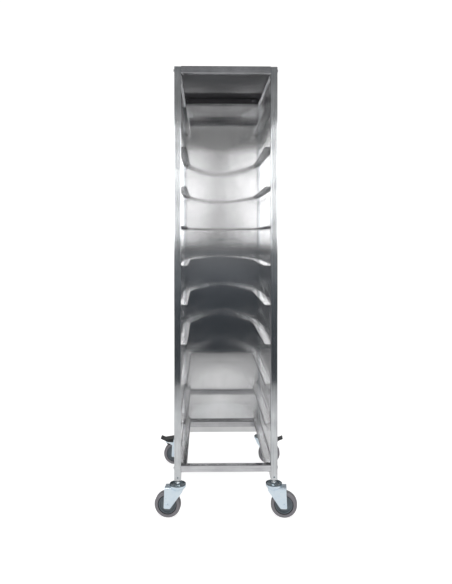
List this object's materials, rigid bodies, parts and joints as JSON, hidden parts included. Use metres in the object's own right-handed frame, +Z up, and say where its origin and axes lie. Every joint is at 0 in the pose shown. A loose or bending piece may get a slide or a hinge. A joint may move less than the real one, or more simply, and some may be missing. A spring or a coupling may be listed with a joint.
{
  "type": "tray return trolley",
  "caption": "Tall open-fronted stainless steel trolley with pairs of tray runners between closed sides, a closed back and top, on swivel castors, the rear ones braked.",
  "frame": {"origin": "on the floor under the middle of the trolley", "axes": "+Z up, -Y towards the open front, +X to the right seen from the front"},
  "size_m": [0.5534, 0.5857, 1.659],
  "materials": {
    "stainless_tube": "brushed stainless tube",
    "stainless_sheet": "brushed stainless sheet, upright grain",
    "stainless_runner": "brushed stainless sheet",
    "stainless_fixing": "plain stainless",
    "cap_steel": "plain stainless",
    "fork_zinc": "bright zinc plate with a blue tint",
    "bright_zinc": "bright zinc plate",
    "dark_zinc": "bright zinc plate, dark",
    "grey_plastic": "moulded plastic",
    "grey_rubber": "grey non-marking rubber",
    "black_plastic": "moulded plastic"
  },
  "bodies": {
    "frame": {"post_front_left": "stainless_tube", "post_front_right": "stainless_tube", "post_rear_left": "stainless_tube", "post_rear_right": "stainless_tube", "rail_front_top": "stainless_tube", "rail_front_bottom": "stainless_tube", "rail_rear_top": "stainless_tube", "rail_rear_bottom": "stainless_tube", "rail_left_top": "stainless_tube", "rail_right_top": "stainless_tube", "rail_left_bottom": "stainless_tube", "rail_right_bottom": "stainless_tube", "post_caps": "cap_steel", "frame_bolts": "stainless_fixing", "panel_left": "stainless_sheet", "panel_right": "stainless_sheet", "stiffeners_left": "stainless_sheet", "stiffeners_right": "stainless_sheet", "panel_rivets": "stainless_fixing", "panel_back": "stainless_sheet", "back_rivets": "stainless_fixing", "panel_top": "stainless_sheet", "runners_01": "stainless_runner", "runners_02": "stainless_runner", "runners_03": "stainless_runner", "runners_04": "stainless_runner", "runners_05": "stainless_runner", "runners_06": "stainless_runner", "runners_07": "stainless_runner", "runners_08": "stainless_runner", "runners_09": "stainless_runner", "runners_10": "stainless_runner", "castor_plugs": "black_plastic", "plug_pins": "dark_zinc", "castor_stems": "bright_zinc", "castor_heads": "dark_zinc", "castor_bearings": "bright_zinc"},
    "castor_front_left": {"fork_front_left": "fork_zinc", "axle_front_left": "bright_zinc"},
    "wheel_front_left": {"hub_front_left": "grey_plastic", "tyre_front_left": "grey_rubber"},
    "castor_front_right": {"fork_front_right": "fork_zinc", "axle_front_right": "bright_zinc"},
    "wheel_front_right": {"hub_front_right": "grey_plastic", "tyre_front_right": "grey_rubber"},
    "castor_rear_left": {"fork_rear_left": "fork_zinc", "axle_rear_left": "bright_zinc", "brake_pin_left": "bright_zinc"},
    "wheel_rear_left": {"hub_rear_left": "grey_plastic", "tyre_rear_left": "grey_rubber"},
    "pedal_left": {"brake_pedal_left": "black_plastic"},
    "castor_rear_right": {"fork_rear_right": "fork_zinc", "axle_rear_right": "bright_zinc", "brake_pin_right": "bright_zinc"},
    "wheel_rear_right": {"hub_rear_right": "grey_plastic", "tyre_rear_right": "grey_rubber"},
    "pedal_right": {"brake_pedal_right": "black_plastic"}
  },
  "joints": [
    {"name": "swivel_front_left", "type": "hinge", "parent": "frame", "child": "castor_front_left", "pos_m": [-0.1775, -0.2625, 0.114], "axis": [0, 0, 1], "continuous": true},
    {"name": "roll_front_left", "type": "hinge", "parent": "castor_front_left", "child": "wheel_front_left", "pos_m": [-0.21414, -0.25735, 0.048], "axis": [-0.1392, -0.9903, 0], "continuous": true},
    {"name": "swivel_front_right", "type": "hinge", "parent": "frame", "child": "castor_front_right", "pos_m": [0.1775, -0.2625, 0.114], "axis": [0, 0, 1], "continuous": true},
    {"name": "roll_front_right", "type": "hinge", "parent": "castor_front_right", "child": "wheel_front_right", "pos_m": [0.21414, -0.26765, 0.048], "axis": [0.1392, 0.9903, 0], "continuous": true},
    {"name": "swivel_rear_left", "type": "hinge", "parent": "frame", "child": "castor_rear_left", "pos_m": [-0.1775, 0.2625, 0.114], "axis": [0, 0, 1], "continuous": true},
    {"name": "roll_rear_left", "type": "hinge", "parent": "castor_rear_left", "child": "wheel_rear_left", "pos_m": [-0.21441, 0.26508, 0.048], "axis": [-0.0698, -0.9976, 0], "continuous": true},
    {"name": "brake_left", "type": "hinge", "parent": "castor_rear_left", "child": "pedal_left", "pos_m": [-0.23731, 0.26668, 0.10397], "axis": [-0.0698, -0.9976, 0], "range_deg": [0, 10]},
    {"name": "swivel_rear_right", "type": "hinge", "parent": "frame", "child": "castor_rear_right", "pos_m": [0.1775, 0.2625, 0.114], "axis": [0, 0, 1], "continuous": true},
    {"name": "roll_rear_right", "type": "hinge", "parent": "castor_rear_right", "child": "wheel_rear_right", "pos_m": [0.21441, 0.25992, 0.048], "axis": [0.0698, 0.9976, 0], "continuous": true},
    {"name": "brake_right", "type": "hinge", "parent": "castor_rear_right", "child": "pedal_right", "pos_m": [0.23731, 0.25832, 0.10397], "axis": [0.0698, 0.9976, 0], "range_deg": [0, 10]}
  ]
}
